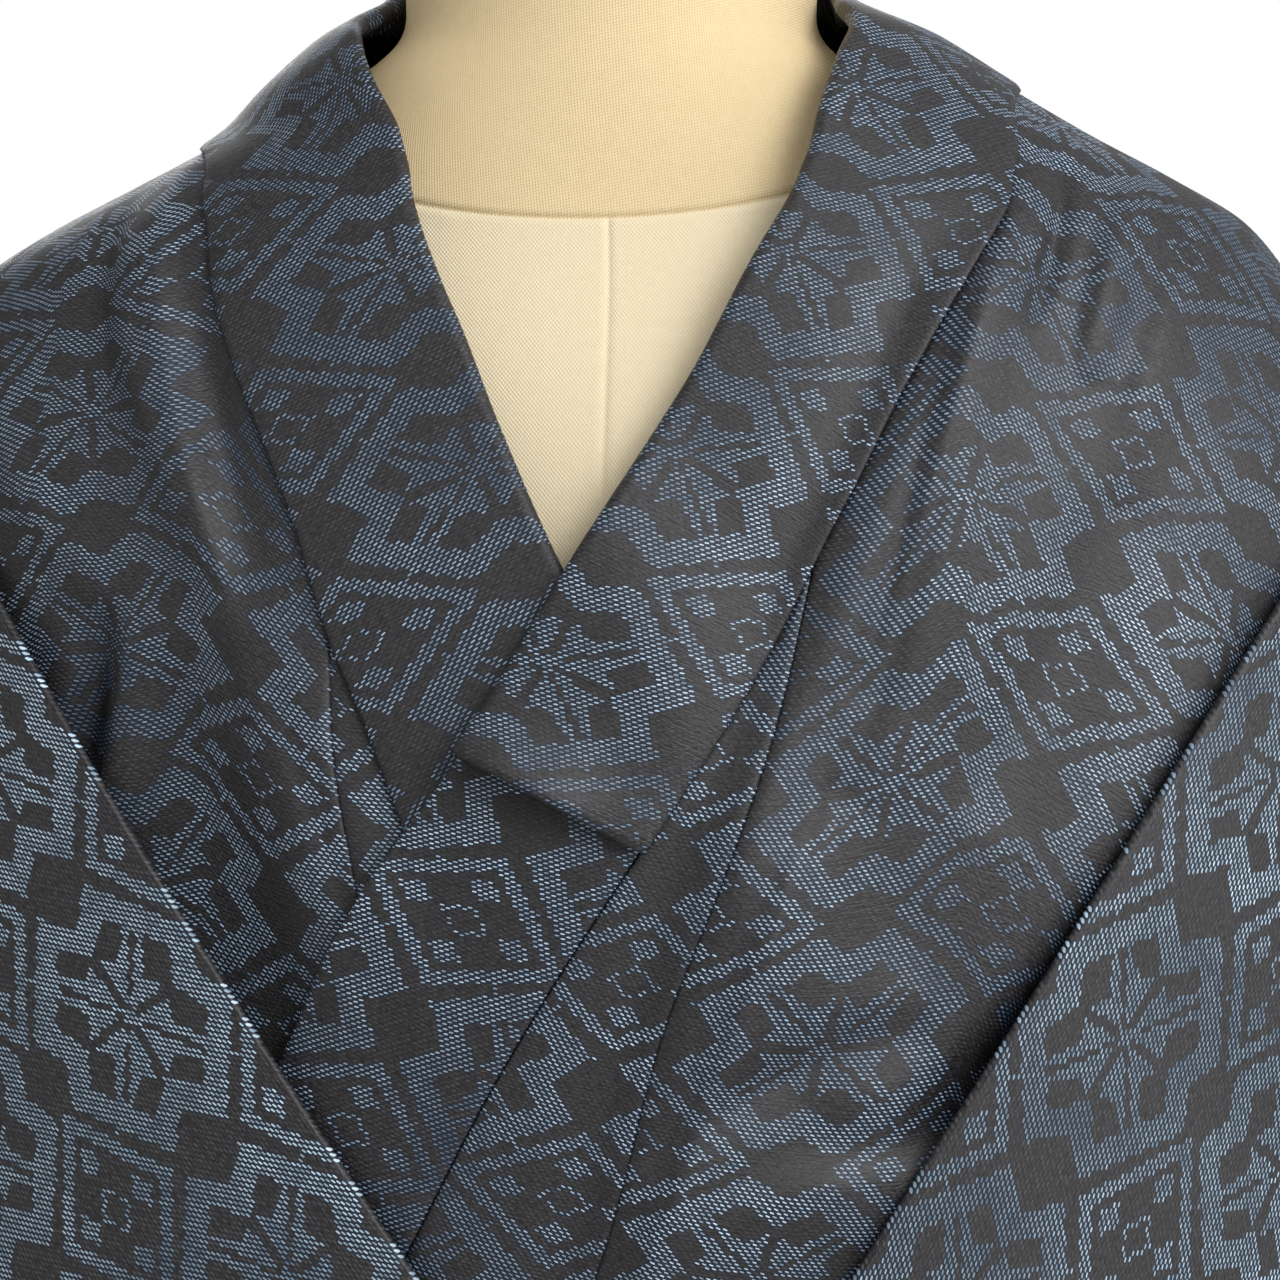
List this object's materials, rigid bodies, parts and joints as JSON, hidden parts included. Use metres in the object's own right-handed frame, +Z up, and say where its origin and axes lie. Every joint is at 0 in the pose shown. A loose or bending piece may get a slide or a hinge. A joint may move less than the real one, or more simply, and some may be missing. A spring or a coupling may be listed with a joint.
{
  "type": "kimono on a limbless dress form",
  "caption": "Woven silk kimono worn on a limbless dress form with a pole and round base: crossed fronts, band collar with a cover, deep bag sleeves and a long straight skirt.",
  "frame": {"origin": "middle of the underside of the round base, on the floor", "axes": "+Z up along the pole, the front of the garment faces -Y, +X is the wearer's left"},
  "size_m": [0.5091, 0.43, 1.565],
  "materials": {
    "silk": "figured silk, dark ground with pale blue-grey weft floats",
    "canvas": "stretched cotton canvas, ecru",
    "wood": "turned hardwood, satin varnish",
    "steel": "black satin enamel on steel"
  },
  "bodies": {
    "root": {"body_left": "silk", "body_right": "silk", "overlap_left": "silk", "overlap_right": "silk", "collar": "silk", "collar_cover": "silk", "sleeve_left": "silk", "sleeve_right": "silk", "form_body": "canvas", "neck_cap": "wood", "stand_pole": "steel", "stand_socket": "steel", "stand_base": "steel"}
  },
  "joints": []
}
